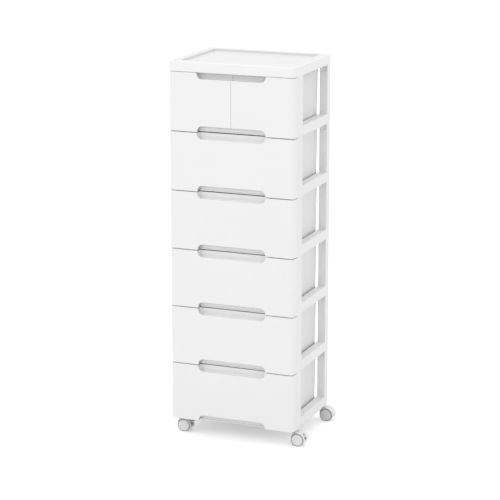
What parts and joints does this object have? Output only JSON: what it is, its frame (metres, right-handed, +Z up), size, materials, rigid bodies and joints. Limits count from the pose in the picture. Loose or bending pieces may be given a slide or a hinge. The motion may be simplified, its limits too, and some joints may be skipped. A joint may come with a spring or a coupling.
{
  "type": "plastic drawer tower",
  "caption": "Narrow tower of stacked plastic tiers with sliding full-width and half-width drawers, a tray top, side windows and braked twin-wheel casters.",
  "frame": {"origin": "on the floor, under the middle of the body's footprint; the wheels touch the plane Z = 0", "axes": "+Z up, drawers open towards -Y, +X to the right of someone who faces the drawers"},
  "size_m": [0.434, 0.3156, 1.16],
  "materials": {
    "frame_white": "fine satin moulded polypropylene",
    "front_white": "smooth satin moulded polypropylene",
    "tub_white": "milky, slightly grey polypropylene",
    "caster_white": "semi-matte moulded nylon",
    "steel": "zinc-plated steel"
  },
  "bodies": {
    "tower": {"top_cover": "frame_white", "centre_guide": "frame_white", "base_frame": "frame_white", "shelf_2": "frame_white", "shelf_3": "frame_white", "shelf_4": "frame_white", "shelf_5": "frame_white", "shelf_6": "frame_white", "side_frame_left_1": "frame_white", "side_frame_left_2": "frame_white", "side_frame_left_3": "frame_white", "side_frame_left_4": "frame_white", "side_frame_left_5": "frame_white", "side_frame_left_6": "frame_white", "side_frame_right_1": "frame_white", "side_frame_right_2": "frame_white", "side_frame_right_3": "frame_white", "side_frame_right_4": "frame_white", "side_frame_right_5": "frame_white", "side_frame_right_6": "frame_white", "caster_stem_front_left": "steel", "caster_stem_front_right": "steel", "caster_stem_rear_left": "steel", "caster_stem_rear_right": "steel"},
    "drawer_1": {"drawer_tub_1": "tub_white", "drawer_front_1": "front_white"},
    "drawer_2": {"drawer_tub_2": "tub_white", "drawer_front_2": "front_white"},
    "drawer_3": {"drawer_tub_3": "tub_white", "drawer_front_3": "front_white"},
    "drawer_4": {"drawer_tub_4": "tub_white", "drawer_front_4": "front_white"},
    "drawer_5": {"drawer_tub_5": "tub_white", "drawer_front_5": "front_white"},
    "drawer_top_left": {"drawer_tub_top_left": "tub_white", "drawer_front_top_left": "front_white"},
    "drawer_top_right": {"drawer_tub_top_right": "tub_white", "drawer_front_top_right": "front_white"},
    "swivel_front_left": {"caster_housing_front_left": "caster_white", "caster_axle_front_left": "steel"},
    "wheel_front_left_a": {"caster_wheel_front_left_a": "caster_white"},
    "wheel_front_left_b": {"caster_wheel_front_left_b": "caster_white"},
    "lever_front_left": {"brake_lever_front_left": "caster_white"},
    "swivel_front_right": {"caster_housing_front_right": "caster_white", "caster_axle_front_right": "steel"},
    "wheel_front_right_a": {"caster_wheel_front_right_a": "caster_white"},
    "wheel_front_right_b": {"caster_wheel_front_right_b": "caster_white"},
    "lever_front_right": {"brake_lever_front_right": "caster_white"},
    "swivel_rear_left": {"caster_housing_rear_left": "caster_white", "caster_axle_rear_left": "steel"},
    "wheel_rear_left_a": {"caster_wheel_rear_left_a": "caster_white"},
    "wheel_rear_left_b": {"caster_wheel_rear_left_b": "caster_white"},
    "swivel_rear_right": {"caster_housing_rear_right": "caster_white", "caster_axle_rear_right": "steel"},
    "wheel_rear_right_a": {"caster_wheel_rear_right_a": "caster_white"},
    "wheel_rear_right_b": {"caster_wheel_rear_right_b": "caster_white"}
  },
  "joints": [
    {"name": "drawer_1_slide", "type": "slide", "parent": "tower", "child": "drawer_1", "axis": [0, -1, 0], "range_m": [0, 0.2]},
    {"name": "drawer_2_slide", "type": "slide", "parent": "tower", "child": "drawer_2", "axis": [0, -1, 0], "range_m": [0, 0.2]},
    {"name": "drawer_3_slide", "type": "slide", "parent": "tower", "child": "drawer_3", "axis": [0, -1, 0], "range_m": [0, 0.2]},
    {"name": "drawer_4_slide", "type": "slide", "parent": "tower", "child": "drawer_4", "axis": [0, -1, 0], "range_m": [0, 0.2]},
    {"name": "drawer_5_slide", "type": "slide", "parent": "tower", "child": "drawer_5", "axis": [0, -1, 0], "range_m": [0, 0.2]},
    {"name": "drawer_top_left_slide", "type": "slide", "parent": "tower", "child": "drawer_top_left", "axis": [0, -1, 0], "range_m": [0, 0.2]},
    {"name": "drawer_top_right_slide", "type": "slide", "parent": "tower", "child": "drawer_top_right", "axis": [0, -1, 0], "range_m": [0, 0.2]},
    {"name": "swivel_front_left", "type": "hinge", "parent": "tower", "child": "swivel_front_left", "pos_m": [-0.1875, -0.1155, 0.03], "axis": [0, 0, 1], "continuous": true},
    {"name": "wheel_front_left_a", "type": "hinge", "parent": "swivel_front_left", "child": "wheel_front_left_a", "pos_m": [-0.1715, -0.1155, 0.02], "axis": [0, 1, 0], "continuous": true},
    {"name": "wheel_front_left_b", "type": "hinge", "parent": "swivel_front_left", "child": "wheel_front_left_b", "pos_m": [-0.1715, -0.1155, 0.02], "axis": [0, 1, 0], "continuous": true},
    {"name": "lever_front_left", "type": "hinge", "parent": "swivel_front_left", "child": "lever_front_left", "pos_m": [-0.1625, -0.1155, 0.032], "axis": [0, 1, 0], "range_deg": [0, 18]},
    {"name": "swivel_front_right", "type": "hinge", "parent": "tower", "child": "swivel_front_right", "pos_m": [0.1875, -0.1155, 0.03], "axis": [0, 0, 1], "continuous": true},
    {"name": "wheel_front_right_a", "type": "hinge", "parent": "swivel_front_right", "child": "wheel_front_right_a", "pos_m": [0.2035, -0.1155, 0.02], "axis": [0, 1, 0], "continuous": true},
    {"name": "wheel_front_right_b", "type": "hinge", "parent": "swivel_front_right", "child": "wheel_front_right_b", "pos_m": [0.2035, -0.1155, 0.02], "axis": [0, 1, 0], "continuous": true},
    {"name": "lever_front_right", "type": "hinge", "parent": "swivel_front_right", "child": "lever_front_right", "pos_m": [0.2125, -0.1155, 0.032], "axis": [0, 1, 0], "range_deg": [0, 18]},
    {"name": "swivel_rear_left", "type": "hinge", "parent": "tower", "child": "swivel_rear_left", "pos_m": [-0.1875, 0.141, 0.03], "axis": [0, 0, 1], "continuous": true},
    {"name": "wheel_rear_left_a", "type": "hinge", "parent": "swivel_rear_left", "child": "wheel_rear_left_a", "pos_m": [-0.1715, 0.141, 0.02], "axis": [0, 1, 0], "continuous": true},
    {"name": "wheel_rear_left_b", "type": "hinge", "parent": "swivel_rear_left", "child": "wheel_rear_left_b", "pos_m": [-0.1715, 0.141, 0.02], "axis": [0, 1, 0], "continuous": true},
    {"name": "swivel_rear_right", "type": "hinge", "parent": "tower", "child": "swivel_rear_right", "pos_m": [0.1875, 0.141, 0.03], "axis": [0, 0, 1], "continuous": true},
    {"name": "wheel_rear_right_a", "type": "hinge", "parent": "swivel_rear_right", "child": "wheel_rear_right_a", "pos_m": [0.2035, 0.141, 0.02], "axis": [0, 1, 0], "continuous": true},
    {"name": "wheel_rear_right_b", "type": "hinge", "parent": "swivel_rear_right", "child": "wheel_rear_right_b", "pos_m": [0.2035, 0.141, 0.02], "axis": [0, 1, 0], "continuous": true}
  ]
}
